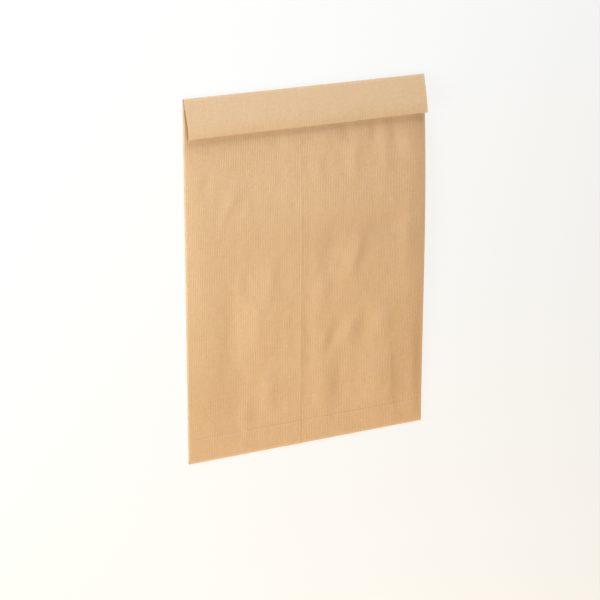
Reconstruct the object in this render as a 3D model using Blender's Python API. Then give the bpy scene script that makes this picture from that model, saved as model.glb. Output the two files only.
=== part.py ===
"""Large kraft envelope for x-ray film: one cut sheet, folded and glued into a pocket with a closing flap.

Metres, +Z up. The envelope lies with its plain wall on the table, its seam upwards and its closing flap
towards +Y. The origin is on the table, under the middle of the outline.
"""

import math

import bpy
import numpy as np

# Outline of the folded envelope
envelope_width = 0.310
envelope_length = 0.410

# Sheet and glue
paper = 0.0002
glue_film = 0.0001

# Pocket: the air between its walls at the ends, and what is added where it stands open most
fold_gap = 0.0008
side_opening = 0.0008
crown_opening = 0.0022
crown_shoulder = 0.026
widest_from_bottom = 0.265

# Curl: half way along, the right side lies off the table, and the slope up to it starts left of centre
curl_height = 0.0044
curl_start_left_of_centre = 0.120
curl_end_right_of_centre = 0.060

# Flaps of the cut sheet, each measured from its own fold, and the middle stretch that no taper reaches
seam_left_of_centre = 0.011
seam_overlap = 0.015
bottom_flap_depth = 0.0275
bottom_flap_taper = 0.008
closing_flap_depth = 0.0440
closing_flap_taper = 0.0018
untapered_middle = 0.104

# Where the side flaps stop short of the bottom fold and of the mouth
bottom_notch = 0.0025
mouth_setback = 0.0030

# Closing flap: it springs up from its fold, more at the right, and arches back a little
flap_edge_height_left = 0.0088
flap_edge_height_right = 0.0108
flap_arch = math.radians(12)
mouth_clearance = 0.0003

# Run of the slope where one layer climbs over the edge of another
step_run = 0.003

# Glue lines, as distances from the edges that they hold down
seam_glue_width = 0.008
flap_glue_width = 0.012
flap_glue_end_margin = 0.020
glue_edge_margin = 0.0035
glue_bite = paper / 4

# Spacing of the sheet's points
fold_segments = 6
column_spacing = 0.022
row_spacing = 0.024
end_row_spacing = 0.012
side_spacing = 0.007
shoulder_spacing = 0.007
flap_spacing = 0.009

# Kraft paper
kraft_colour = (0.745, 0.479, 0.262, 1.0)
kraft_roughness = 0.75

half_width = envelope_width / 2
seam_edge = -seam_left_of_centre
hidden_edge = seam_edge - seam_overlap
layer_step = paper + glue_film
seam_glue_end = seam_edge - glue_edge_margin
seam_glue_start = seam_glue_end - seam_glue_width


def clear_scene():
    for item in list(bpy.data.objects):
        bpy.data.objects.remove(item)


def smooth(share):
    """An even slope from 0 to 1 that starts and ends level."""
    share = np.clip(share, 0, 1)
    return share * share * (3 - 2 * share)


def openness(y):
    """How far the pocket stands open at a height y above the bottom fold: 0 at both ends, 1 where widest."""
    power = math.log(0.5) / math.log(widest_from_bottom / envelope_length)
    return np.sin(math.pi * np.clip(y / envelope_length, 0, 1) ** power)


def side_gap(y):
    """Air between the two walls at the side folds."""
    return fold_gap + side_opening * openness(y)


def side_radius(y):
    """Radius of a side fold, to the middle of the sheet."""
    return (paper + side_gap(y)) / 2


def fold_line(y):
    """Distance from the centre line to where a side fold begins, so that its outside stays on the outline."""
    return half_width - paper / 2 - side_radius(y)


def pocket_gap(x, y):
    """Air between the walls: the side folds' gap, and a crown that rises from each side and levels off."""
    inward = np.clip((fold_line(y) - np.abs(x)) / crown_shoulder, 0, 1)
    crown = 1 - (1 - inward) ** 2
    return side_gap(y) + crown_opening * openness(y) * crown


def table_lift(x, y):
    """How far the lower wall is off the table: flat along the left side, then a slow curl up to the right."""
    across = (x + curl_start_left_of_centre) / (curl_start_left_of_centre + curl_end_right_of_centre)
    return curl_height * openness(y) * smooth(across)


def sheet_height(x, y, layer):
    """Height of the middle of the sheet as layer 0, on the table, or as layer 1, 2 or 3 of the upper wall."""
    over_pocket = np.minimum(layer, 1) * (paper + pocket_gap(x, y))
    over_seam = np.maximum(np.asarray(layer) - 1, 0) * layer_step
    return paper / 2 + table_lift(x, y) + over_pocket + over_seam


def left_flap_layer(x):
    """The left side flap climbs over the hidden edge of the right one."""
    return np.interp(x, [hidden_edge - step_run, hidden_edge], [1, 2])


def bottom_flap_layer(x):
    """The bottom flap lies on both side flaps and climbs over their overlap."""
    return np.interp(x, [hidden_edge - step_run, hidden_edge, seam_edge, seam_edge + step_run], [2, 3, 3, 2])


def spread(start, stop, spacing):
    """Evenly spaced values from start to stop, both included, about one spacing apart."""
    return np.linspace(start, stop, max(2, round(abs(stop - start) / spacing) + 1))


# Folds across the sheet: the bottom one wraps the seam's three layers, the top one clears the mouth
bottom_radius_most = (paper + fold_gap + 2 * layer_step) / 2
bottom_line = bottom_radius_most + paper / 2
mouth_stack = 2 * paper + fold_gap + layer_step
top_radius = (mouth_stack + mouth_clearance) / 2
top_line = envelope_length - top_radius - paper / 2
mouth_line = envelope_length - mouth_setback


def wall_columns():
    """Places across the wall between its side folds, with one at each edge of the seam and of its glue."""
    inner = half_width - crown_shoulder
    left = spread(-half_width + side_spacing, -inner, shoulder_spacing)
    to_seam = spread(-inner, hidden_edge - step_run, column_spacing)[1:]
    seam = [hidden_edge, seam_glue_start, seam_glue_end, seam_edge, seam_edge + step_run]
    from_seam = spread(seam_edge + step_run, inner, column_spacing)[1:]
    return np.concatenate([left, to_seam, seam, from_seam, -left[::-1][1:]])


def wall_rows():
    """Places along the wall from the bottom fold to the top fold, closer together near both ends."""
    start = [bottom_line, bottom_notch, bottom_notch + end_row_spacing]
    middle = spread(bottom_flap_depth, mouth_line - end_row_spacing, row_spacing)
    return np.concatenate([start, middle, [mouth_line, top_line]])


def wall_points(columns, rows):
    """The wall on the table, one row of points after another."""
    x = np.empty((len(rows), len(columns) + 2))
    x[:, 1:-1] = columns
    x[:, 0] = -fold_line(rows)
    x[:, -1] = fold_line(rows)
    y = np.repeat(rows[:, None], x.shape[1], axis=1)
    return np.stack([x, y, sheet_height(x, y, 0)], axis=-1)


def side_points(side, rows, columns, layer_of):
    """A side fold and its flap, from the wall outwards and back to the seam; side is -1 left or 1 right."""
    y = rows[:, None]
    turn = np.linspace(0, math.pi, fold_segments + 1)[None, 1:]
    line = fold_line(y)
    radius = side_radius(y)
    fold_x = side * (line + radius * np.sin(turn))
    fold_z = sheet_height(side * line, y, 0) + radius * (1 - np.cos(turn))
    flap_x = np.repeat(columns[None, :], len(rows), axis=0)
    flap_z = sheet_height(flap_x, y, layer_of(flap_x))
    x = np.hstack([fold_x, flap_x])
    return np.stack([x, np.repeat(y, x.shape[1], axis=1), np.hstack([fold_z, flap_z])], axis=-1)


def draw_in(x, share, taper):
    """Moves a flap's outer parts inwards, so that its ends slant while its untapered middle stays."""
    outer = np.interp(np.abs(x), [untapered_middle / 2, half_width], [0, 1])
    return x - np.sign(x) * taper * share * outer


def bottom_points(fold_x):
    """The bottom fold and the bottom flap, from the wall outwards and back over the side flaps."""
    turn = np.linspace(0, math.pi, fold_segments + 1)[1:, None]
    low = sheet_height(fold_x, bottom_line, 0)
    high = sheet_height(fold_x, bottom_line, bottom_flap_layer(fold_x))
    radius = (high - low)[None, :] / 2
    fold_y = bottom_line - radius * np.sin(turn)
    fold_z = low + radius * (1 - np.cos(turn))
    flap_y = spread(bottom_line, bottom_flap_depth, flap_spacing)[1:, None]
    share = (flap_y - bottom_line) / (bottom_flap_depth - bottom_line)
    flap_x = draw_in(fold_x[None, :], share, bottom_flap_taper)
    flap_y = np.repeat(flap_y, len(fold_x), axis=1)
    flap_z = sheet_height(flap_x, flap_y, bottom_flap_layer(flap_x))
    x = np.vstack([np.repeat(fold_x[None, :], fold_segments, axis=0), flap_x])
    return np.stack([x, np.vstack([fold_y, flap_y]), np.vstack([fold_z, flap_z])], axis=-1)


def closing_points(fold_x):
    """The top fold, which turns less than half round, and the closing flap, which is a shallow arc."""
    reach = closing_flap_depth - top_radius
    across = (fold_x + half_width) / envelope_width
    edge = flap_edge_height_left + (flap_edge_height_right - flap_edge_height_left) * across
    chord = reach * math.sin(flap_arch / 2) / (flap_arch / 2)
    rise = edge - (paper / 2 + 2 * top_radius)
    lean = flap_arch / 2 + np.arcsin(rise / chord)
    quarter = np.linspace(0, math.pi / 2, fold_segments // 2 + 1)[1:, None]
    outward = np.repeat(quarter, len(fold_x), axis=1)
    turn = np.vstack([outward, math.pi / 2 + quarter * (1 - lean / (math.pi / 2))])
    fold_y = top_line + top_radius * np.sin(turn)
    fold_z = sheet_height(fold_x, top_line, 0) + top_radius * (1 - np.cos(turn))
    share = spread(0, reach, flap_spacing)[1:, None] / reach
    radius = reach / flap_arch
    flap_y = fold_y[-1] - radius * (np.sin(lean) - np.sin(lean - share * flap_arch))
    flap_z = fold_z[-1] + radius * (np.cos(lean - share * flap_arch) - np.cos(lean))
    flap_x = draw_in(fold_x[None, :], share, closing_flap_taper)
    x = np.vstack([np.repeat(fold_x[None, :], fold_segments, axis=0), flap_x])
    return np.stack([x, np.vstack([fold_y, flap_y]), np.vstack([fold_z, flap_z])], axis=-1)


class SheetMesh:
    """Points and four-sided faces of a sheet that is put together from blocks with shared lines."""

    def __init__(self):
        self.points = []
        self.faces = []

    def add(self, points):
        """Keeps a block of points and returns their numbers in the same layout."""
        start = len(self.points)
        self.points += [tuple(point) for point in points.reshape(-1, 3)]
        return start + np.arange(points.shape[0] * points.shape[1]).reshape(points.shape[:2])

    def cover(self, numbers):
        """Covers a layout of point numbers with faces, all wound the same way."""
        corners = [numbers[:-1, :-1], numbers[:-1, 1:], numbers[1:, 1:], numbers[1:, :-1]]
        self.faces += np.stack(corners, axis=-1).reshape(-1, 4).tolist()

    def build(self, name):
        """Makes the mesh, with the outline's centre moved to the origin."""
        mesh = bpy.data.meshes.new(name)
        centred = np.array(self.points) - (0, envelope_length / 2, 0)
        mesh.from_pydata(centred.tolist(), [], self.faces)
        mesh.validate()
        return mesh


def cut_sheet():
    """The whole cut sheet in its folded place: wall, side flaps, bottom flap and closing flap."""
    sheet = SheetMesh()
    columns = wall_columns()
    rows = wall_rows()
    wall = wall_points(columns, rows)
    wall_numbers = sheet.add(wall)
    sheet.cover(wall_numbers)

    # The side folds leave out the first and the last row, which are the notches at the corners
    side_rows = rows[1:-1]
    left_columns = np.append(columns[columns < seam_edge - step_run / 2], seam_edge)
    left = sheet.add(side_points(-1, side_rows, left_columns, left_flap_layer)[:, ::-1])
    sheet.cover(np.hstack([left, wall_numbers[1:-1, :1]]))
    right_columns = columns[columns > hidden_edge - step_run / 2][::-1]
    right = sheet.add(side_points(1, side_rows, right_columns, np.ones_like))
    sheet.cover(np.hstack([wall_numbers[1:-1, -1:], right]))

    bottom = sheet.add(bottom_points(wall[0, :, 0])[::-1])
    sheet.cover(np.vstack([bottom, wall_numbers[:1]]))
    closing = sheet.add(closing_points(wall[-1, :, 0]))
    sheet.cover(np.vstack([wall_numbers[-1:], closing]))
    return sheet.build("envelope")


def glue_line(sheet, x_range, y_range, lower_layer):
    """A closed film between two layers that bites a little into both."""
    x = spread(*x_range, column_spacing)
    inner_rows = wall_rows()
    inner_rows = inner_rows[(inner_rows > y_range[0]) & (inner_rows < y_range[1])]
    y = np.concatenate([y_range[:1], inner_rows, y_range[1:]])
    x, y = np.meshgrid(x, y)
    low = sheet_height(x, y, lower_layer) + paper / 2 - glue_bite
    high = sheet_height(x, y, lower_layer + 1) - paper / 2 + glue_bite
    under = sheet.add(np.stack([x, y, low], axis=-1))
    over = sheet.add(np.stack([x, y, high], axis=-1))
    sheet.cover(over)
    sheet.cover(under[:, ::-1])
    for low_edge, high_edge in (
        (under[0], over[0]),
        (under[:, -1], over[:, -1]),
        (under[-1, ::-1], over[-1, ::-1]),
        (under[::-1, 0], over[::-1, 0]),
    ):
        sheet.cover(np.stack([low_edge, high_edge]))


def glue_films():
    """The seam's glue line, and the bottom flap's in three stretches beside and on the seam."""
    films = SheetMesh()
    along_seam = (bottom_notch + glue_edge_margin, mouth_line - glue_edge_margin)
    glue_line(films, (seam_glue_start, seam_glue_end), along_seam, 1)
    flap_end = bottom_flap_depth - glue_edge_margin
    along = (flap_end - flap_glue_width, flap_end)
    far = half_width - flap_glue_end_margin
    glue_line(films, (-far, hidden_edge - step_run - glue_edge_margin), along, 1)
    glue_line(films, (seam_glue_start, seam_glue_end), along, 2)
    glue_line(films, (seam_edge + step_run + glue_edge_margin, far), along, 1)
    return films.build("glue_films")


def place(name, mesh):
    item = bpy.data.objects.new(name, mesh)
    bpy.context.scene.collection.objects.link(item)
    return item


def kraft_paper():
    material = bpy.data.materials.new("kraft_paper")
    material.use_nodes = True
    surface = material.node_tree.nodes["Principled BSDF"]
    surface.inputs["Base Color"].default_value = kraft_colour
    surface.inputs["Roughness"].default_value = kraft_roughness
    surface.inputs["Metallic"].default_value = 0.0
    material.diffuse_color = kraft_colour
    return material


def main():
    clear_scene()
    envelope = place("envelope", cut_sheet())
    envelope.data.materials.append(kraft_paper())

    thickness = envelope.modifiers.new("paper_thickness", "SOLIDIFY")
    thickness.thickness = paper
    thickness.offset = 0
    thickness.use_even_offset = True
    thickness.use_quality_normals = True

    glue = place("glue_guide", glue_films())
    glue.hide_render = True
    glue.display_type = "WIRE"
    join = envelope.modifiers.new("glue", "BOOLEAN")
    join.operation = "UNION"
    join.solver = "EXACT"
    join.object = glue


main()
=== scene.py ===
# %% [markdown]
# # A kraft envelope for x-ray film
#
# The real envelope is one cut sheet of ribbed kraft paper. Two side flaps are folded over the wall and glued
# to each other in a seam, a bottom flap closes the pocket, and a closing flap is folded over the mouth. It
# lies flat, it has been handled, and its pocket stands open by a few millimetres.
#
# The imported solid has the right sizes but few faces. Here the same sheet is worked out again on fine grids,
# with the dents, creases and curled edges that soft light shows, and it gets a paper finish.

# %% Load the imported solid
import math

import bpy
import numpy as np
from mathutils import Matrix, Vector


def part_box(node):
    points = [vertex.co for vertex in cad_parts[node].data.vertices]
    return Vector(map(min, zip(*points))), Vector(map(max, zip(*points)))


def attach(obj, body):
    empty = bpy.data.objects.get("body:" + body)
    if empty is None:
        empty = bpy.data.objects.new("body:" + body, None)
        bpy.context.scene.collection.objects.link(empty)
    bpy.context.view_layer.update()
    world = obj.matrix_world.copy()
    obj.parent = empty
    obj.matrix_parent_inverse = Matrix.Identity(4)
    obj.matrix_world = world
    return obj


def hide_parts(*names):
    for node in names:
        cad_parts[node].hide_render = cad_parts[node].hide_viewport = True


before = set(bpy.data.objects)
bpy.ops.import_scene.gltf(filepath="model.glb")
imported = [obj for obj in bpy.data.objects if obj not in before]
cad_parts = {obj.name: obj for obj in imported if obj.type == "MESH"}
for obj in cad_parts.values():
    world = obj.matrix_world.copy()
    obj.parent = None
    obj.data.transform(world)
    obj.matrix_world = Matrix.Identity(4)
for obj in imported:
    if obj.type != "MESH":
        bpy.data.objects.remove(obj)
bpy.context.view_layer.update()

mm = 0.001
low_corner, high_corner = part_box("envelope")
half_width = (high_corner.x - low_corner.x) / 2
envelope_length = high_corner.y - low_corner.y
print("envelope", round(2 * half_width / mm, 2), "x", round(envelope_length / mm, 2), "mm")

# %% [markdown]
# ## Sizes of the sheet
#
# Everything that folds shares a few sizes: the paper, the glue film, the air in the folds and the depth of
# each flap. They are the sizes of the solid. Heights along the envelope, called up, start at the bottom fold,
# because a paper maker measures a pack that way. The mesh is moved to the frame's origin at the end.

# %% Sizes in metres
paper = 0.2 * mm
glue_film = 0.1 * mm
layer_step = paper + glue_film
fold_gap = 0.8 * mm
side_opening = 0.8 * mm
crown_opening = 2.2 * mm
crown_shoulder = 26 * mm
widest_up = 265 * mm

seam_edge = -11 * mm
hidden_edge = seam_edge - 15 * mm
step_run = 3 * mm
bottom_flap_depth = 27.5 * mm
bottom_flap_taper = 8 * mm
closing_flap_depth = 44 * mm
closing_flap_taper = 1.8 * mm
untapered_middle = 104 * mm
bottom_notch = 2.5 * mm
mouth_setback = 3 * mm
mouth_clearance = 0.3 * mm

bottom_line = (paper + fold_gap + 2 * layer_step) / 2 + paper / 2
top_radius = (2 * paper + fold_gap + layer_step + mouth_clearance) / 2
top_line = envelope_length - top_radius - paper / 2
mouth_line = envelope_length - mouth_setback
print("bottom fold begins at", round(bottom_line / mm, 2), "mm, top fold at", round(top_line / mm, 2), "mm")

# %% [markdown]
# ## The slow shape of the pack
#
# Paper that has been filled and emptied keeps a slow, wide shape. The pocket stands open most a little above
# its middle, and the right side has curled off the table. A cloth simulation could find such a shape, but it
# would move the outline too, so each part of it is a formula in two coordinates.

# %% Slow shape
def smooth(share):
    """An even slope from 0 to 1 that starts and ends level: three times the square less twice the cube."""
    share = np.clip(share, 0, 1)
    return share * share * (3 - 2 * share)


def openness(up):
    """0 at both ends and 1 where the pocket is widest: a sine whose middle is moved by a power."""
    power = math.log(0.5) / math.log(widest_up / envelope_length)
    return np.sin(math.pi * np.clip(up / envelope_length, 0, 1) ** power)


def side_radius(up):
    """Radius of a side fold, to the middle of the paper: half of the paper and the air inside the fold."""
    return (paper + fold_gap + side_opening * openness(up)) / 2


def fold_line(up):
    """Distance from the centre line to where a side fold begins, so that its outside keeps to the outline."""
    return half_width - paper / 2 - side_radius(up)


def pocket_gap(x, up):
    """The side fold's air plus a crown, whose share is 1 less the square of the way that is left to rise."""
    inward = np.clip((fold_line(up) - np.abs(x)) / crown_shoulder, 0, 1)
    crown = 1 - (1 - inward) ** 2
    return 2 * side_radius(up) - paper + crown_opening * openness(up) * crown


curl_height = 4.4 * mm
curl_start = -120 * mm
curl_end = 60 * mm


def table_lift(x, up):
    """How far the plain wall is off the table: a smooth slope across, as strong as the pocket is open."""
    return curl_height * openness(up) * smooth((x - curl_start) / (curl_end - curl_start))


middle_up = envelope_length / 2
print("gap in the middle", round(float(pocket_gap(0, middle_up)) / mm, 2), "mm")
print("lift at the right side", round(float(table_lift(half_width, middle_up)) / mm, 2), "mm")

# %% [markdown]
# ## Dents and creases
#
# A used envelope is full of shallow marks: dents where a thumb pressed it, soft ridges where it was bent, and
# short folds that run down from the closing flap. Most are a millimetre deep or less, and low light from the
# side still shows them. Sculpting by hand would give a mesh nobody can read, so a mark is a bell curve in two
# directions. It has a place, a length, a width, a lean from the envelope's long axis, and a height.

# %% Marks of handling
# Across, up, half length, half breadth in mm, lean to the right in degrees, height in mm
handling_marks = (
    (-100, 290, 14, 4.5, 28, 1.10),
    (-129, 313, 12, 4.5, 0, -0.85),
    (-78, 280, 12, 4.5, 5, 0.45),
    (-20, 283, 11, 5, 0, -0.50),
    (12, 316, 12, 5, 0, 0.65),
    (58, 322, 18, 6, 0, 0.95),
    (100, 318, 26, 6.5, 0, 0.65),
    (114, 340, 13, 5, 0, -1.00),
    (130, 332, 12, 6, 0, 0.30),
    (86, 350, 9, 4.5, 0, -0.90),
    (50, 353, 7, 5, 0, -0.80),
    (-40, 355, 7, 6, 0, -0.70),
    (95, 356, 9, 34, 0, -0.70),
    (129, 228, 22, 7, 0, 0.90),
    (27, 218, 21, 8, 12, -1.10),
    (57, 215, 20, 7, 17, 1.40),
    (61, 214, 14, 4, 17, 0.45),
    (106, 244, 24, 8, 84, -1.30),
    (59, 190, 8, 5, 0, 0.50),
    (-51, 198, 15, 5.5, 4, 1.20),
    (-78, 195, 10, 4, 0, -0.50),
    (-89, 193, 10, 4, 0, 0.50),
    (-98, 148, 32, 9.5, 2, -1.50),
    (-66, 148, 20, 7, 0, 0.80),
    (-50, 150, 28, 16, 0, 1.20),
    (15, 172, 18, 6.5, 8, 0.95),
    (21, 121, 8, 4.5, 12, 0.80),
    (33, 121, 13, 5.5, 26, -1.50),
    (55, 125, 11, 5, 22, 0.90),
    (73, 125, 12, 6, 10, -1.00),
    (98, 130, 14, 9.5, 0, 1.40),
    (93, 62, 23, 15, -4, 2.60),
    (108, 58, 30, 5, -4, 0.60),
    (143, 64, 45, 7, 0, 1.10),
    (20, 62, 24, 9.5, 0, 1.60),
    (42, 67, 20, 6, 0, -0.70),
    (-50, 67, 15, 8, 0, 1.20),
    (-67, 46, 12, 4.5, -3, -0.60),
    (-81, 44, 12, 5, 0, 0.60),
    (-92, 78, 34, 18, 0, -0.95),
    (-87, 82, 12, 5, 0, -0.35),
    (-12, 114, 24, 4, 0, 0.40),
)
fine_creases = (
    (-16, 254, 16, 0.9, 87, -0.10),
    (112, 107, 6, 1.3, 42, 0.22),
    (110, 68, 38, 1.3, -5, 0.34),
    (-106, 227, 16, 0.9, -5, 0.06),
)


def mark(x, up, across, along, half_length, half_breadth, lean, height):
    """A bell curve: height times e to the minus half the squared distances along and across the mark."""
    tilt = math.radians(lean)
    dx = x - across * mm
    dy = up - along * mm
    lengthwise = (dx * math.sin(tilt) + dy * math.cos(tilt)) / (half_length * mm)
    sideways = (dx * math.cos(tilt) - dy * math.sin(tilt)) / (half_breadth * mm)
    return height * mm * np.exp(-(lengthwise**2 + sideways**2) / 2)


print(len(handling_marks), "marks and", len(fine_creases), "fine creases")

# %% [markdown]
# ## Cockle
#
# Paper dries unevenly, which leaves shallow waves in all directions. Papermakers call it cockle. A noise in
# the material could fake it, but waves in the mesh catch low light as real ones do and go into the exported
# shape too. They are drawn once from a fixed seed, so each run gives the same sheet. Paper is stiffer along
# its ribs, so the waves are longer that way.

# %% Cockle
cockle_seed = 5
cockle_waves = 40
cockle_height = 0.06 * mm
shortest_wave = 9 * mm
longest_wave = 22 * mm
wave_stretch = 0.6


def cockle(x, up):
    """Many sine waves of drawn lengths, directions and starts, added up, over the root of half their count."""
    draws = np.random.default_rng(cockle_seed)
    number = 2 * math.pi / draws.uniform(shortest_wave, longest_wave, cockle_waves)
    direction = draws.uniform(0, math.pi, cockle_waves)
    start = draws.uniform(0, 2 * math.pi, cockle_waves)
    across = number * np.cos(direction)
    along = number * np.sin(direction) * wave_stretch
    waves = sum(np.sin(a * x + b * up + c) for a, b, c in zip(across, along, start))
    return cockle_height * waves / math.sqrt(cockle_waves / 2)


print(cockle_waves, "waves, which together stand about", cockle_height / mm, "mm up or down")

# %% [markdown]
# ## Marks and cockle together
#
# A fold holds the paper straight, so the relief fades out towards the side folds, the bottom fold and the
# mouth. A dent deeper than the pocket would push one wall through the other, so the cell measures the air that
# is left under the deepest dent.

# %% Relief of the upper wall
quiet_side = 16 * mm
quiet_end = 14 * mm


def relief(x, up):
    """Marks and cockle added up, and faded out by a smooth slope from each side and from each end."""
    total = cockle(x, up) + sum(mark(x, up, *values) for values in handling_marks + fine_creases)
    from_side = smooth((fold_line(up) - np.abs(x)) / quiet_side)
    from_ends = smooth(up / quiet_end) * smooth((envelope_length - up) / quiet_end)
    return total * from_side * from_ends


inner_share = 0.9
samples = 181
inner_x = np.linspace(-inner_share, inner_share, samples) * half_width
inner_up = middle_up + np.linspace(-inner_share, inner_share, samples) * middle_up
inner_places = np.meshgrid(inner_x, inner_up)
air = pocket_gap(*inner_places) + relief(*inner_places)
print("least air under a dent", round(float(air.min()) / mm, 2), "mm")

# %% [markdown]
# ## Patches of painted shade
#
# A few wide, faint patches of painted shade darken the seam side: a wide band across the middle, the right
# side low down, the lower left, and the right edge just below the closing flap. They are bell curves like the
# marks, with a share of the darker colour in place of a height. An image could be painted for them, but a row
# of plain numbers is easier to read and to move.

# %% Patches of painted shade
# Across, up, half length, half breadth in mm, lean to the right in degrees, share of the darker colour as
# painted shade
# Patches of painted shade on the face
painted_shade_patches = (
    (30, 240, 20, 80, 0, 0.42),
    (142, 88, 42, 13, 0, 0.80),
    (-112, 62, 30, 26, 0, 0.42),
    (150, 345, 20, 10, 0, 0.50),
)


def painted_shade(x, up):
    """Share of painted shade at a place: the patches' bell curves added up."""
    return sum(mark(x, up, *values) for values in painted_shade_patches) / mm


most_painted_shade = float(painted_shade(*inner_places).max())
print(len(painted_shade_patches), "darker patches, with a share of", round(most_painted_shade, 2), "at most")

# %% [markdown]
# ## Heights of the layers
#
# Layer 0 is the plain wall on the table. Layers 1, 2 and 3 are the sheets that lie over each other on the
# upper side: a side flap alone, the seam's overlap, and the bottom flap on top of that. All of them follow the
# same slow shape and the same marks, so no layer can pass through another. Beside the seam the paper dips, and
# the seam's free edge stands up a little, so a real seam shows as a light line with a shade beside it.

# %% Layer heights
groove_width = 20 * mm
groove_depth = 0.38 * mm
# Places along the envelope in mm, and the share of its full depth that the groove has at each
groove_stops = (30, 60, 80, 120, 180, 280, 370)
groove_shares = (0.0, 0.15, 0.5, 1.0, 0.7, 0.25, 0.25)
lip_width = 4 * mm
lip_height = 0.08 * mm
ramp_run = 14 * mm


def seam_groove(x, up):
    """A dip beside the seam's edge: one wave of a cosine across, times a share that changes along it."""
    share = np.clip((x - seam_edge) / groove_width, 0, 1)
    fade = np.interp(up / mm, groove_stops, groove_shares)
    return -groove_depth * (1 - np.cos(2 * math.pi * share)) / 2 * fade


def layer_height(x, up, layer):
    """Height of the middle of the paper: half the paper, the table lift, the pocket and the layers below."""
    upper = np.minimum(layer, 1)
    over_pocket = upper * (paper + pocket_gap(x, up) + relief(x, up) + seam_groove(x, up))
    return paper / 2 + table_lift(x, up) + over_pocket + np.maximum(layer - 1, 0) * layer_step


def left_flap_layer(x):
    """The left side flap climbs from layer 1 to layer 2 over the hidden edge of the right one."""
    return 1 + smooth((x - hidden_edge) / ramp_run + 1)


def bottom_flap_layer(x):
    """The bottom flap lies on layer 2, and on layer 3 where it crosses the seam's overlap."""
    return 2 + smooth((x - hidden_edge) / ramp_run + 1) - smooth((x - seam_edge) / step_run)


def seam_lip(x, up):
    """How far the free edge of the left side flap stands up: a parabola over its last millimetres."""
    share = np.clip((x - seam_edge) / lip_width + 1, 0, 1)
    return lip_height * share**2 * smooth((up - bottom_flap_depth) / quiet_end)


print("seam runs at", round(seam_edge / mm, 1), "mm, over an edge at", round(hidden_edge / mm, 1), "mm")

# %% [markdown]
# ## A sheet built from grids
#
# The folded sheet is five grids that share lines of points: the wall, two sides, the bottom and the closing
# flap. The helper below keeps for each point its place in space, its place on the flat cut sheet, and how much
# the paper is worn there or painted paler as light. The flat place becomes the UV map, so the ribs of the
# paper run round each fold as they do on a real sheet, and that paling and the painted shade become attributes
# that the paper's material reads. Sharing points, rather than merging doubles, keeps every seam closed.

# %% Sheet helper
class Sheet:
    """Points and four-sided faces of one sheet of paper, collected grid by grid."""

    def __init__(self):
        self.places = []
        self.flats = []
        self.wears_and_highlights = []
        self.faces = []
        self.count = 0

    def add(self, place, flat, wear_and_highlight):
        """Keeps a grid of points and returns their numbers in the same layout."""
        rows, columns = place.shape[:2]
        numbers = self.count + np.arange(rows * columns).reshape(rows, columns)
        self.places.append(place.reshape(-1, 3))
        self.flats.append(flat.reshape(-1, 2))
        self.wears_and_highlights.append(np.broadcast_to(wear_and_highlight, (rows, columns)).reshape(-1))
        self.count += rows * columns
        return numbers

    def cover(self, numbers):
        """Covers a layout of point numbers with faces that are all wound the same way."""
        around = (numbers[:-1, :-1], numbers[:-1, 1:], numbers[1:, 1:], numbers[1:, :-1])
        self.faces.append(np.stack(around, axis=-1).reshape(-1, 4))

    def mesh(self, name):
        """Makes the mesh at the frame's origin, with its UV map, its paling from wearing and painted
        highlights, and its painted shade.
        """
        places = np.concatenate(self.places)
        flats = np.concatenate(self.flats)
        faces = np.concatenate(self.faces)
        made = bpy.data.meshes.new(name)
        made.from_pydata(places - (0, envelope_length / 2, 0), [], faces)
        corners = flats[faces.reshape(-1)].astype(np.float32)
        made.uv_layers.new(name="flat_sheet").data.foreach_set("uv", corners.reshape(-1))
        # On the flat sheet the glued flaps are what lies beside the wall and below it
        glued_flap = (np.abs(flats[:, 0]) > half_width) | (flats[:, 1] < bottom_line)
        # The painted shade goes only on the glued flaps, which make the face that is seen
        painted_shade_values = painted_shade(places[:, 0], places[:, 1]) * glued_flap
        for attribute, values in (("wear_and_highlight", np.concatenate(self.wears_and_highlights)), ("painted_shade", painted_shade_values)):
            stored = made.attributes.new(attribute, "FLOAT", "POINT")
            stored.data.foreach_set("value", values.astype(np.float32))
        return made


def spaced(stops, spacings):
    """Values from the first stop to the last, evenly spaced within each stretch and with each stop once."""
    parts = [np.array(stops[:1])]
    for start, stop, spacing in zip(stops, stops[1:], spacings):
        steps = max(1, round(abs(stop - start) / spacing))
        parts.append(np.linspace(start, stop, steps + 1)[1:])
    return np.concatenate(parts)


def draw_in(x, share, taper):
    """Moves the outer parts of a flap inwards by its taper, so that its ends slant and its middle stays."""
    outer = np.interp(np.abs(x), [untapered_middle / 2, half_width], [0, 1])
    return x - np.sign(x) * taper * share * outer


print("sheet helper ready")

# %% [markdown]
# ## The plain wall
#
# The wall is the part of the sheet that lies on the table, from fold to fold. It is a grid of columns across
# and rows along. The columns stand closer where the bottom flap, which shares them, climbs over the seam.

# %% Plain wall
fine = 3 * mm
finer = 1 * mm
fold_steps = 10
column_margin = 3 * mm
first_column = half_width - column_margin

columns = spaced(
    (-first_column, hidden_edge - step_run, hidden_edge, seam_edge, seam_edge + step_run, first_column),
    (fine, finer, fine, finer, fine),
)
side_rows = spaced((bottom_notch, mouth_line), (fine,))
rows = np.concatenate([[bottom_line], side_rows, [top_line]])


def wall_grid():
    """The wall: each row runs from one side fold to the other at the height of layer 0."""
    x = np.empty((len(rows), len(columns) + 2))
    x[:, 1:-1] = columns
    x[:, 0] = -fold_line(rows)
    x[:, -1] = fold_line(rows)
    up = np.broadcast_to(rows[:, None], x.shape)
    return np.stack([x, up, layer_height(x, up, np.zeros_like(x))], axis=-1)


sheet = Sheet()
wall = wall_grid()
wall_numbers = sheet.add(wall, wall[..., :2], 0.0)
sheet.cover(wall_numbers)
print("wall", wall.shape[0], "rows of", wall.shape[1], "points")

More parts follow.
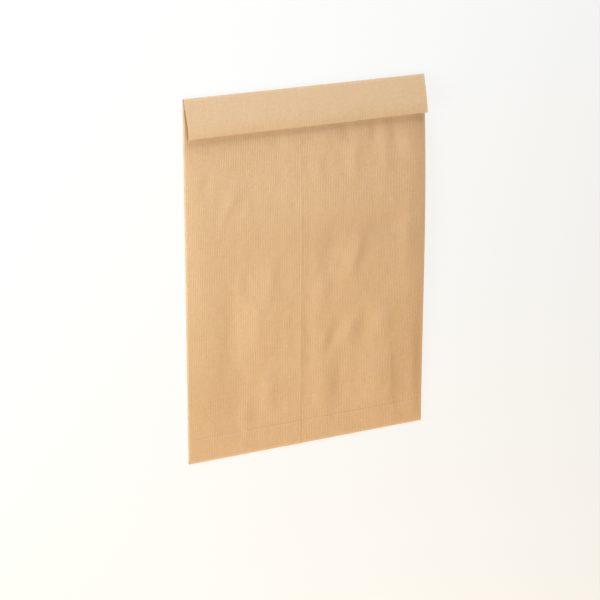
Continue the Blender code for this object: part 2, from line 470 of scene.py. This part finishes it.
# %% [markdown]
# ## Side folds and side flaps
#
# Each side fold is half a turn round the air inside it, and its flap runs back over the pocket to the seam.
# The left flap lies on top and ends at the seam's visible edge. The right one goes on under it. A Bend or a
# Simple Deform modifier could fold a flat grid, but two folds and an overlap are easier to state than to bend.

# %% Side folds and side flaps
# Paling on the folds and cut edges: partly worn paper, partly painted highlight where light catches them
fold_wear_and_highlight = 0.6
edge_wear_and_highlight = 0.7
turn = np.linspace(0, math.pi, fold_steps + 1)[1:]


def side_grid(side, flap_columns, layer_of, lip_of):
    """A side fold, which is a half circle across, and its flap, which follows the height of its layer."""
    up = side_rows[:, None]
    line = fold_line(up)
    radius = side_radius(up)
    fold_x = side * (line + radius * np.sin(turn))
    start = layer_height(side * line, up, np.zeros_like(line))
    fold_z = start + radius * (1 - np.cos(turn))
    flap_x = np.broadcast_to(flap_columns, (len(side_rows), len(flap_columns)))
    flap_up = np.broadcast_to(up, flap_x.shape)
    flap_z = layer_height(flap_x, flap_up, layer_of(flap_x)) + lip_of(flap_x, flap_up)
    x = np.hstack([fold_x, flap_x])
    flat_x = side * np.hstack([line + radius * turn, 2 * line + math.pi * radius - side * flap_x])
    up = np.broadcast_to(up, x.shape)
    place = np.stack([x, up, np.hstack([fold_z, flap_z])], axis=-1)
    return place, np.stack([flat_x, up], axis=-1)


def side_wear_and_highlight(flap_columns):
    """Paling on the fold, which ends over the first flap column, and more on the free edge: worn paper and
    painted highlight.
    """
    wear_and_highlight = np.zeros(fold_steps + len(flap_columns))
    wear_and_highlight[:fold_steps] = fold_wear_and_highlight
    wear_and_highlight[-1] = edge_wear_and_highlight
    return wear_and_highlight


def no_lip(x, up):
    """The right side flap ends under the left one, so its edge can't stand up: zero everywhere."""
    return np.zeros_like(x)


lip_steps = 4
groove_steps = 10
left_columns = spaced(
    (-first_column, hidden_edge - step_run, hidden_edge, seam_edge - lip_width, seam_edge),
    (fine, finer, fine, lip_width / lip_steps),
)
right_columns = spaced(
    (first_column, seam_edge + groove_width, seam_edge, hidden_edge),
    (fine, groove_width / groove_steps, fine),
)

place, flat = side_grid(-1, left_columns, left_flap_layer, seam_lip)
left_numbers = sheet.add(place, flat, side_wear_and_highlight(left_columns))
sheet.cover(np.hstack([left_numbers[:, ::-1], wall_numbers[1:-1, :1]]))

place, flat = side_grid(1, right_columns, np.ones_like, no_lip)
right_numbers = sheet.add(place, flat, side_wear_and_highlight(right_columns))
sheet.cover(np.hstack([wall_numbers[1:-1, -1:], right_numbers]))
print("side flaps", left_numbers.shape, "and", right_numbers.shape, "points")

# %% [markdown]
# ## Bottom flap
#
# The bottom fold wraps the side flaps, so it is thicker over the seam, and the flap's ends slant inwards.
# It lies on top of the side flaps and is glued down, which leaves one faint line across the pack.

# %% Bottom flap
faint_wear = 0.25
bottom_x = wall[0, :, 0]


def bottom_grid():
    """The bottom fold, half a circle round the layers that it wraps, and the flap on top of them."""
    start = layer_height(bottom_x, bottom_line, np.zeros_like(bottom_x))
    finish = layer_height(bottom_x, bottom_line, bottom_flap_layer(bottom_x))
    radius = (finish - start) / 2
    fold_up = bottom_line - radius * np.sin(turn[:, None])
    fold_z = start + radius * (1 - np.cos(turn[:, None]))
    flap_up = spaced((bottom_line, bottom_flap_depth), (fine,))[1:, None]
    share = (flap_up - bottom_line) / (bottom_flap_depth - bottom_line)
    flap_x = draw_in(bottom_x, share, bottom_flap_taper)
    flap_up = np.broadcast_to(flap_up, flap_x.shape)
    flap_z = layer_height(flap_x, flap_up, bottom_flap_layer(flap_x))
    x = np.vstack([np.broadcast_to(bottom_x, fold_up.shape), flap_x])
    place = np.stack([x, np.vstack([fold_up, flap_up]), np.vstack([fold_z, flap_z])], axis=-1)
    flat_fold = bottom_line - radius * turn[:, None]
    flat_flap = 2 * bottom_line - math.pi * radius - flap_up
    return place, np.stack([x, np.vstack([flat_fold, flat_flap])], axis=-1)


place, flat = bottom_grid()
bottom_wear_and_highlight = np.zeros((len(place), 1))
bottom_wear_and_highlight[:fold_steps] = fold_wear_and_highlight
bottom_wear_and_highlight[-1] = faint_wear
bottom_numbers = sheet.add(place, flat, bottom_wear_and_highlight)
sheet.cover(np.vstack([bottom_numbers[::-1], wall_numbers[:1]]))
print("bottom flap", bottom_numbers.shape, "points")

# %% [markdown]
# ## Closing flap
#
# Nothing holds the closing flap down, so it springs up from its fold, more at the right than at the left, and
# its free edge bends back. Its path is the fold's arc followed by a curve whose slope changes most near the
# free edge. A flat plate would catch the light evenly, and the real flap has a darker lower band. The flap's
# paper is also painted a little paler down to that band, as painted light that makes it brighter than the
# face.

# %% Closing flap
edge_height_left = 8.8 * mm
edge_height_right = 12.0 * mm
flap_arch = math.radians(17)
arch_power = 4.0
ripple_height = 0.25 * mm
ripple_waves = 2.15
ripple_start = 0.6
corner_reach = 5 * mm
corner_lift = 0.12
mouth_x = wall[-1, :, 0]


def arch_drop(share):
    """What the arch takes off the climb: the arch times the share to the next power, over that power."""
    return flap_arch * share ** (arch_power + 1) / (arch_power + 1)


def flap_ripple(across, share):
    """A slow wave across the flap: a sine that grows with the cube of the distance from the fold."""
    return ripple_height * np.sin(2 * math.pi * ripple_waves * across + ripple_start) * share**3


def closing_grid():
    """The top fold, less than half a turn, then the flap, which leaves it at a lean and arches back.

    For such small angles the climb is the lean times the share, less the arch's drop."""
    reach = closing_flap_depth - top_radius
    across = (mouth_x + half_width) / (2 * half_width)
    edge = edge_height_left + (edge_height_right - edge_height_left) * across
    rise = edge - (paper / 2 + 2 * top_radius)
    lean = rise / reach + arch_drop(1.0)
    fold_turn = np.linspace(0, 1, fold_steps + 1)[1:, None] * (math.pi - lean)
    fold_up = top_line + top_radius * np.sin(fold_turn)
    fold_start = layer_height(mouth_x, top_line, np.zeros_like(mouth_x))
    fold_z = fold_start + top_radius * (1 - np.cos(fold_turn))
    share = spaced((0, reach), (fine,))[1:, None] / reach
    climb = lean * share - arch_drop(share)
    run = reach * share * (1 - (climb / share) ** 2 / 2)
    flap_x = draw_in(mouth_x, share, closing_flap_taper)
    from_corner = half_width - flap_x + reach * (1 - share)
    corner = np.clip(corner_reach - from_corner, 0, None) * corner_lift
    flap_up = fold_up[-1] - run
    unevenness = flap_ripple(across, share) + corner + cockle(flap_x, flap_up) * share
    flap_z = fold_z[-1] + reach * climb + unevenness
    x = np.vstack([np.broadcast_to(mouth_x, fold_up.shape), flap_x])
    place = np.stack([x, np.vstack([fold_up, flap_up]), np.vstack([fold_z, flap_z])], axis=-1)
    flat_fold = top_line + top_radius * fold_turn
    flat_flap = top_line + top_radius * (math.pi - lean) + reach * share
    return place, np.stack([x, np.vstack([flat_fold, flat_flap])], axis=-1), np.degrees(lean)


# Painted light: the closing flap is painted paler down to its lower band, so it looks brighter than the face
flap_painted_light = 0.32
flap_light_fade_start = 0.6


def closing_wear_and_painted_light(shape):
    """Painted light that fades out over the last part of the flap, and worn paper with painted highlight on
    its ends and its fold.
    """
    wear_and_highlight = np.zeros(shape)
    down_flap = np.linspace(0, 1, shape[0] - fold_steps)
    wear_and_highlight[fold_steps:] = np.interp(down_flap, (flap_light_fade_start, 1), (flap_painted_light, 0))[:, None]
    wear_and_highlight[:, [0, -1]] = edge_wear_and_highlight
    wear_and_highlight[:fold_steps] = fold_wear_and_highlight
    return wear_and_highlight


place, flat, lean = closing_grid()
closing_numbers = sheet.add(place, flat, closing_wear_and_painted_light(place.shape[:2]))
sheet.cover(np.vstack([wall_numbers[-1:], closing_numbers]))
print("closing flap leaves its fold at", round(float(lean.mean()), 1), "degrees")

# %% [markdown]
# ## Thickness
#
# The grids are the middle of the paper. Solidify gives them half of the paper's thickness on each side and a
# rim along every cut edge, which makes one closed body. It is applied here, so that the cut edges can be
# marked sharp while the folds and the walls stay smooth.

# %% Thickness
sharp_angle = math.radians(50)


def add_thickness(thin):
    """Solidifies a thin object evenly to both sides and returns the closed mesh with its cut edges sharp."""
    solidify = thin.modifiers.new("paper_thickness", "SOLIDIFY")
    solidify.thickness = paper
    solidify.offset = 0
    solidify.use_even_offset = True
    solidify.use_quality_normals = True
    graph = bpy.context.evaluated_depsgraph_get()
    closed = bpy.data.meshes.new_from_object(thin.evaluated_get(graph))
    thin.modifiers.clear()
    closed.shade_smooth()
    closed.set_sharp_from_angle(angle=sharp_angle)
    return closed


envelope = bpy.data.objects.new("kraft_envelope", sheet.mesh("kraft_envelope"))
bpy.context.scene.collection.objects.link(envelope)
envelope.data = add_thickness(envelope)
envelope.data.calc_loop_triangles()
print("envelope has", len(envelope.data.loop_triangles), "triangles")

# %% [markdown]
# ## Helpers for materials
#
# A material is a tree of shader nodes. Blender's own calls take a line for each node, value and link, which
# hides what the tree does, so a small class adds a node and joins its inputs in one call.

# %% Material helpers
noise_roughness = 0.55


class Nodes:
    """Adds and joins the shader nodes of a material or a world with short calls."""

    def __init__(self, owner):
        owner.use_nodes = True
        self.tree = owner.node_tree
        self.tree.nodes.clear()

    def add(self, kind, inputs=None, **settings):
        """A node of a kind, with its settings, and its inputs either linked to a socket or set to a value."""
        node = self.tree.nodes.new("ShaderNode" + kind)
        for name, value in settings.items():
            setattr(node, name, value)
        for name, value in (inputs or {}).items():
            if isinstance(value, bpy.types.NodeSocket):
                self.tree.links.new(value, node.inputs[name])
            else:
                node.inputs[name].default_value = value
        return node

    def noise(self, place, per_metre, share_along, detail):
        """Cloudy noise between 0 and 1: so many clouds per metre across, and a share of that along."""
        squeezed = self.add("Mapping", {"Vector": place, "Scale": (1.0, share_along, 1.0)}).outputs["Vector"]
        inputs = {"Vector": squeezed, "Scale": per_metre, "Detail": detail, "Roughness": noise_roughness}
        return self.add("TexNoise", inputs).outputs["Fac"]

    def attribute(self, name):
        """A value between 0 and 1 that the mesh keeps for each of its points."""
        return self.add("Attribute", attribute_name=name).outputs["Fac"]

    def remap(self, value, old_range, new_range, steps="LINEAR"):
        """Carries a value from one range to another, and keeps it inside the new one."""
        inputs = {"Value": value, "From Min": old_range[0], "From Max": old_range[1]}
        inputs.update({"To Min": new_range[0], "To Max": new_range[1]})
        return self.add("MapRange", inputs, interpolation_type=steps).outputs["Result"]

    def maths(self, operation, first, second):
        """One step of arithmetic on two values, such as ADD or MULTIPLY."""
        return self.add("Math", {0: first, 1: second}, operation=operation).outputs["Value"]

    def tint(self, share, base, over):
        """Mixes a second colour over a first by a share, at the sockets that a Mix node has for colours."""
        return self.add("Mix", {0: share, 6: base, 7: over}, data_type="RGBA").outputs[2]


print("material helpers ready")

# %% [markdown]
# ## Ribbed kraft paper
#
# Kraft is unbleached pulp: a warm brown, cloudy where fibres gather, mottled from close by, with fine ribs
# from the drying felt along the sheet, single darker fibres, and paler paper where it was creased, cut or
# rubbed.
# The paler paper is partly painted highlight on folds and cut edges, and painted light on the closing flap. A
# picture of paper would repeat and blur, so each of these is a small pattern on the flat sheet's own
# coordinates, in metres. The ribs are a bump, because they are lower than a mesh follows, and their lows are
# also darkened in the colour as painted shade.

# %% Colours and patterns of kraft
kraft = (0.685, 0.462, 0.264, 1.0)
kraft_pale = (0.750, 0.512, 0.322, 1.0)
# This darker kraft is also the colour of the painted shade in the patches and in the rib lows
kraft_dark_and_painted_shade = (0.600, 0.370, 0.202, 1.0)
fibre_brown = (0.42, 0.235, 0.105, 1.0)
# Paler paper, both for wear and for painted highlights
crease_pale_and_highlight = (0.83, 0.60, 0.385, 1.0)

# Each noise has so many clouds per metre across, a share of that along the ribs, and levels of detail
cloud_noise = (38, 1.0, 4.0)
rib_patch_noise = (55, 1.0, 2.0)
drift_noise = (160, 0.35, 3.0)
speck_noise = (300, 1.0, 3.0)
fibre_noise = (620, 0.16, 1.0)
grain_noise = (1400, 0.12, 2.0)

# The part of each noise over which its pattern grows from nothing to its full share
cloud_range = (0.36, 0.66)
rib_patch_range = (0.40, 0.62)
drift_range = (0.48, 0.72)
gloss_range = (0.3, 0.7)
speck_range = (0.30, 0.70)
fibre_range = (0.70, 0.78)

cloud_share = 0.55
drift_share = 0.30
# Share of painted shade that darkens the lows of the ribs
rib_painted_shade_share = 0.90
weakest_rib = 0.15
fibre_share = 0.18
wear_and_highlight_share = 0.6
mottle = (0.97, 1.05)
kraft_roughness = (0.58, 0.74)
kraft_specular = 0.32

rib_pitch = 2.14 * mm
rib_relief = 0.10 * mm
grain_relief = 0.006 * mm
print("ribs every", round(rib_pitch / mm, 2), "mm,", round(rib_relief / mm, 2), "mm high")

# %% [markdown]
# Ribs are even bands, which the Wave Texture draws. It turns its sine by 20 radians for each unit of the
# place times its scale, and a rib is one full turn, so the pitch of the ribs gives the scale. A cloudy noise
# weakens them in patches, because on real paper they are strong in some places and nearly gone in others.

# %% Ribs
radians_per_unit = 20


def rib_pattern(nodes, place):
    """Between minus and plus a half: a sine across the sheet, times a strength that a noise gives."""
    wave = nodes.add(
        "TexWave",
        {"Vector": place, "Scale": 2 * math.pi / (radians_per_unit * rib_pitch), "Distortion": 0.0},
        wave_type="BANDS",
        bands_direction="X",
        wave_profile="SIN",
    ).outputs["Fac"]
    patches = nodes.noise(place, *rib_patch_noise)
    strength = nodes.remap(patches, rib_patch_range, (weakest_rib, 1), "SMOOTHSTEP")
    return nodes.maths("MULTIPLY", nodes.maths("SUBTRACT", wave, 0.5), strength)


print("weakest ribs have", weakest_rib, "of the full height")

# %% [markdown]
# The colours are laid over each other from the widest pattern to the narrowest, as a painter would glaze them.
# The paling from wear and painted highlights, and the patches of painted shade, come from the mesh, where they
# were worked out with the shape.

# %% Ribbed kraft
def kraft_colour(nodes, place, ribs, drifts):
    """Each pattern's colour is mixed over the ones before it by its share, and the mottle multiplies them."""
    clouds = nodes.noise(place, *cloud_noise)
    fibres = nodes.noise(place, *fibre_noise)
    specks = nodes.noise(place, *speck_noise)
    # Wear and painted highlights from the mesh
    worn_and_lit = nodes.maths("MULTIPLY", nodes.attribute("wear_and_highlight"), wear_and_highlight_share)
    colour = nodes.tint(nodes.remap(clouds, cloud_range, (0, cloud_share)), kraft, kraft_pale)
    colour = nodes.tint(nodes.remap(drifts, drift_range, (0, drift_share)), colour, kraft_dark_and_painted_shade)
    # Painted shade from the patches
    colour = nodes.tint(nodes.attribute("painted_shade"), colour, kraft_dark_and_painted_shade)
    # Painted shade along the lows of the ribs, besides their bump
    colour = nodes.tint(nodes.remap(ribs, (-0.5, 0.5), (rib_painted_shade_share, 0)), colour, kraft_dark_and_painted_shade)
    colour = nodes.tint(nodes.remap(fibres, fibre_range, (0, fibre_share)), colour, fibre_brown)
    colour = nodes.tint(worn_and_lit, colour, crease_pale_and_highlight)
    brightness = nodes.remap(specks, speck_range, mottle)
    return nodes.add("HueSaturation", {"Value": brightness, "Color": colour}).outputs["Color"]


def ribbed_kraft():
    """The colour above, a bump as high as the ribs and the grain together, and an uneven roughness."""
    material = bpy.data.materials.new("ribbed_kraft")
    nodes = Nodes(material)
    place = nodes.add("UVMap", uv_map="flat_sheet").outputs["UV"]
    ribs = rib_pattern(nodes, place)
    drifts = nodes.noise(place, *drift_noise)
    rib_height = nodes.maths("MULTIPLY", ribs, rib_relief / mm)
    grain_height = nodes.maths("MULTIPLY", nodes.noise(place, *grain_noise), grain_relief / mm)
    height = nodes.maths("ADD", rib_height, grain_height)
    bump = nodes.add("Bump", {"Height": height, "Strength": 1.0, "Distance": 1.0 * mm})
    surface = nodes.add(
        "BsdfPrincipled",
        {
            "Base Color": kraft_colour(nodes, place, ribs, drifts),
            "Roughness": nodes.remap(drifts, gloss_range, kraft_roughness),
            "Specular IOR Level": kraft_specular,
            "Normal": bump.outputs["Normal"],
        },
    )
    nodes.add("OutputMaterial", {"Surface": surface.outputs["BSDF"]})
    return material


envelope.data.materials.clear()
envelope.data.materials.append(ribbed_kraft())
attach(envelope, "root")
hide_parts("envelope")
print("envelope wears", envelope.data.materials[0].name)

# %% [markdown]
# ## Floor
#
# A studio table is a pale sheet that keeps the soft shadow of what lies on it. A little more than half of
# what the camera sees of it is its own even white, and the rest is lit, so it stays pale and still takes the
# shadow.

# %% Floor
floor_size = 12.0
floor_grey = (0.86, 0.86, 0.86, 1.0)
plain_white = (1.0, 1.0, 1.0, 1.0)
even_share = 0.6


def pale_floor():
    """A square at the table's height, lit as a pale grey, with an even white mixed in for the camera."""
    half = floor_size / 2
    mesh = bpy.data.meshes.new("floor")
    corners = [(-half, -half, 0), (half, -half, 0), (half, half, 0), (-half, half, 0)]
    mesh.from_pydata(corners, [], [(0, 1, 2, 3)])
    floor = bpy.data.objects.new("floor", mesh)
    bpy.context.scene.collection.objects.link(floor)
    material = bpy.data.materials.new("pale_table")
    nodes = Nodes(material)
    rays = nodes.add("LightPath")
    seen = nodes.maths("MAXIMUM", rays.outputs["Is Camera Ray"], rays.outputs["Is Glossy Ray"])
    lit = nodes.add("BsdfDiffuse", {"Color": floor_grey}).outputs["BSDF"]
    even = nodes.add("Emission", {"Color": plain_white, "Strength": 1.0}).outputs["Emission"]
    share = nodes.maths("MULTIPLY", seen, even_share)
    mixed = nodes.add("MixShader", {0: share, 1: lit, 2: even}).outputs["Shader"]
    nodes.add("OutputMaterial", {"Surface": mixed})
    mesh.materials.append(material)
    return floor


floor = pale_floor()
print("floor", floor_size, "m across")

# %% [markdown]
# ## Light
#
# Four lamps do different work. A high one gives most of the plain light. A wide, slightly cool one stands low
# beyond the closing flap, which makes the flap paler than the face and gives it a soft shadow. A low raking
# one at the left brings out the dents and the ribs. A warm one fills in from the bottom.

# %% Lamps
# Azimuth from +X towards +Y and elevation in degrees, distance and size in metres, watts, colour
lamps = {
    "high_lamp": (150, 70, 1.6, 0.8, 13.8, (0.90, 0.92, 1.0)),
    "top_lamp": (92, 22, 1.6, 1.0, 18, (0.86, 0.97, 1.0)),
    "raking_lamp": (180, 13, 1.4, 0.45, 11.8, (0.88, 1.0, 0.93)),
    "warm_lamp": (-90, 25, 1.6, 0.8, 19, (1.0, 0.71, 0.25)),
}


def soft_lamp(name, azimuth, elevation, distance, size, watts, colour):
    """A square lamp aimed at the middle: its direction is the cosines and sines of its two angles."""
    around = math.radians(azimuth)
    above = math.radians(elevation)
    level = math.cos(above)
    direction = Vector((level * math.cos(around), level * math.sin(around), math.sin(above)))
    light = bpy.data.lights.new(name, "AREA")
    light.shape = "SQUARE"
    light.size = size
    light.energy = watts
    light.color = colour
    lamp = bpy.data.objects.new(name, light)
    lamp.location = direction * distance
    lamp.rotation_euler = direction.to_track_quat("Z", "Y").to_euler()
    bpy.context.scene.collection.objects.link(lamp)


for lamp_name, lamp_values in lamps.items():
    soft_lamp(lamp_name, *lamp_values)
print("lamps", list(lamps))

# %% [markdown]
# ## Dome and backdrop
#
# The world is two things at once: a weak, even light that keeps the shaded parts from going black, and the
# plain white that the camera sees behind the table. Light Path tells the two apart, so the white backdrop
# doesn't light the paper.

# %% Dome and backdrop
dome_strength = 0.05


def white_dome():
    """A world that is weak for light and plain white for the camera."""
    world = bpy.data.worlds.new("dome")
    sky = Nodes(world)
    rays = sky.add("LightPath")
    dome = sky.add("Background", {"Color": plain_white, "Strength": dome_strength}).outputs["Background"]
    white = sky.add("Background", {"Color": plain_white, "Strength": 1.0}).outputs["Background"]
    mixed = sky.add("MixShader", {0: rays.outputs["Is Camera Ray"], 1: dome, 2: white}).outputs["Shader"]
    sky.add("OutputWorld", {"Surface": mixed})
    return world


bpy.context.scene.world = white_dome()
print("dome lights with strength", dome_strength)

# %% [markdown]
# ## Camera
#
# The camera looks down on the envelope at the angle of the photograph, through a long lens from far away. Its
# place and its two axes are the ones under which the outline's four corners fall where they should.

# %% Camera
camera_place = Vector((-1.358, 0.653, 2.2336))
camera_right = Vector((0.8555, -0.0041, 0.5178))
camera_up = Vector((0.1357, 0.9668, -0.2166))
lens_mm = 144.48
sensor_mm = 36.0
farthest_seen = 50.0


def photo_camera():
    """A camera with the given right and up axes, which looks against their cross product."""
    right = camera_right.normalized()
    back = right.cross(camera_up).normalized()
    axes = Matrix((right, back.cross(right), back)).transposed()
    data = bpy.data.cameras.new("camera")
    data.lens = lens_mm
    data.sensor_width = sensor_mm
    data.clip_end = farthest_seen
    camera = bpy.data.objects.new("camera", data)
    camera.matrix_world = Matrix.Translation(camera_place) @ axes.to_4x4()
    bpy.context.scene.collection.objects.link(camera)
    return camera


bpy.context.scene.camera = photo_camera()
bpy.context.scene.view_settings.view_transform = "Standard"
print("camera", round(camera_place.length, 2), "m from the envelope")
